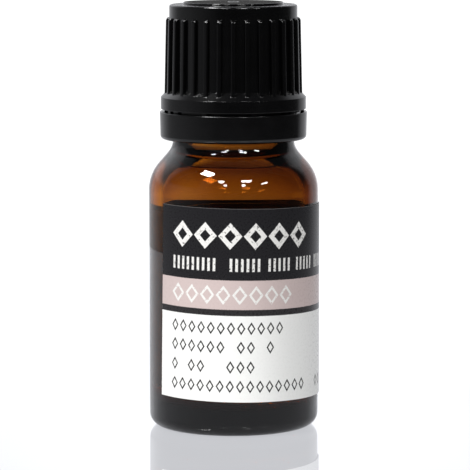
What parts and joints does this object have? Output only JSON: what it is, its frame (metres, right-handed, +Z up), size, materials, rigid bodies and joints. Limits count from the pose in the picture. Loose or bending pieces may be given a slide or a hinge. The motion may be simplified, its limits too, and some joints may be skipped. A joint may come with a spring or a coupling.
{
  "type": "essential oil bottle",
  "caption": "Small amber glass dropper bottle of oil with a ribbed black tamper-evident screw cap and a paper label wrapped round its body.",
  "frame": {"origin": "middle of the base, on the surface that the bottle stands on", "axes": "+Z up along the bottle's axis, -Y out of the front of the label, +X to its right"},
  "size_m": [0.0252, 0.0254, 0.0628],
  "materials": {
    "amber_glass": "gloss",
    "oil": "gloss",
    "cap_plastic": "satin",
    "ring_plastic": "satin",
    "label_paper": "satin"
  },
  "bodies": {
    "root": {"glass_bottle": "amber_glass", "oil": "oil", "cap": "cap_plastic", "tamper_ring": "ring_plastic", "label": "label_paper"}
  },
  "joints": []
}
